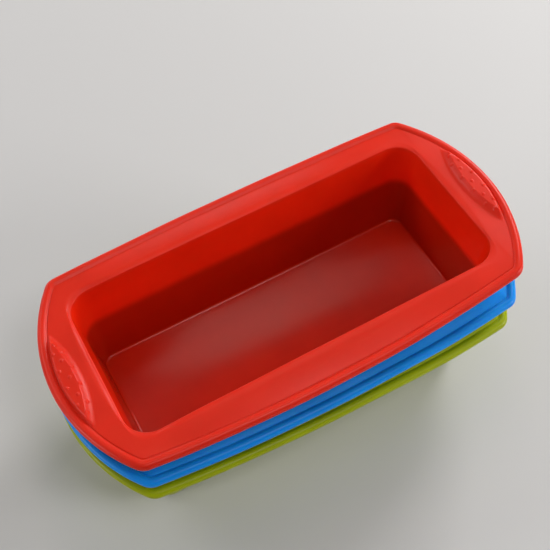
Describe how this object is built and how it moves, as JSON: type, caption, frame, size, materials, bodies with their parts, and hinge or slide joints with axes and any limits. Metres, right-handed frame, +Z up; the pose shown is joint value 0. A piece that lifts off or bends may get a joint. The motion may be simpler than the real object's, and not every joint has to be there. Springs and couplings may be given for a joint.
{
  "type": "silicone loaf mould set",
  "caption": "Nest of loaf-shaped silicone soap moulds with wide flat flanges, rounded rim beads and dotted end grips, each lifting out of the one below.",
  "frame": {"origin": "middle of the lowest mould's underside, on the surface the nest stands on", "axes": "+X along the moulds towards the end where the upper moulds sit higher, +Z up out of the cavities"},
  "size_m": [0.2719, 0.1376, 0.1161],
  "materials": {
    "green_silicone": "satin silicone rubber, faintly translucent",
    "blue_silicone": "satin silicone rubber, faintly translucent",
    "red_silicone": "satin silicone rubber, faintly translucent"
  },
  "bodies": {
    "bottom": {"bottom_mould": "green_silicone"},
    "middle": {"middle_mould": "blue_silicone"},
    "top": {"top_mould": "red_silicone"}
  },
  "joints": [
    {"name": "lift_middle", "type": "slide", "parent": "bottom", "child": "middle", "axis": [0, 0, 1], "range_m": [0, 0.08]},
    {"name": "lift_top", "type": "slide", "parent": "middle", "child": "top", "axis": [0, 0, 1], "range_m": [0, 0.08]}
  ]
}
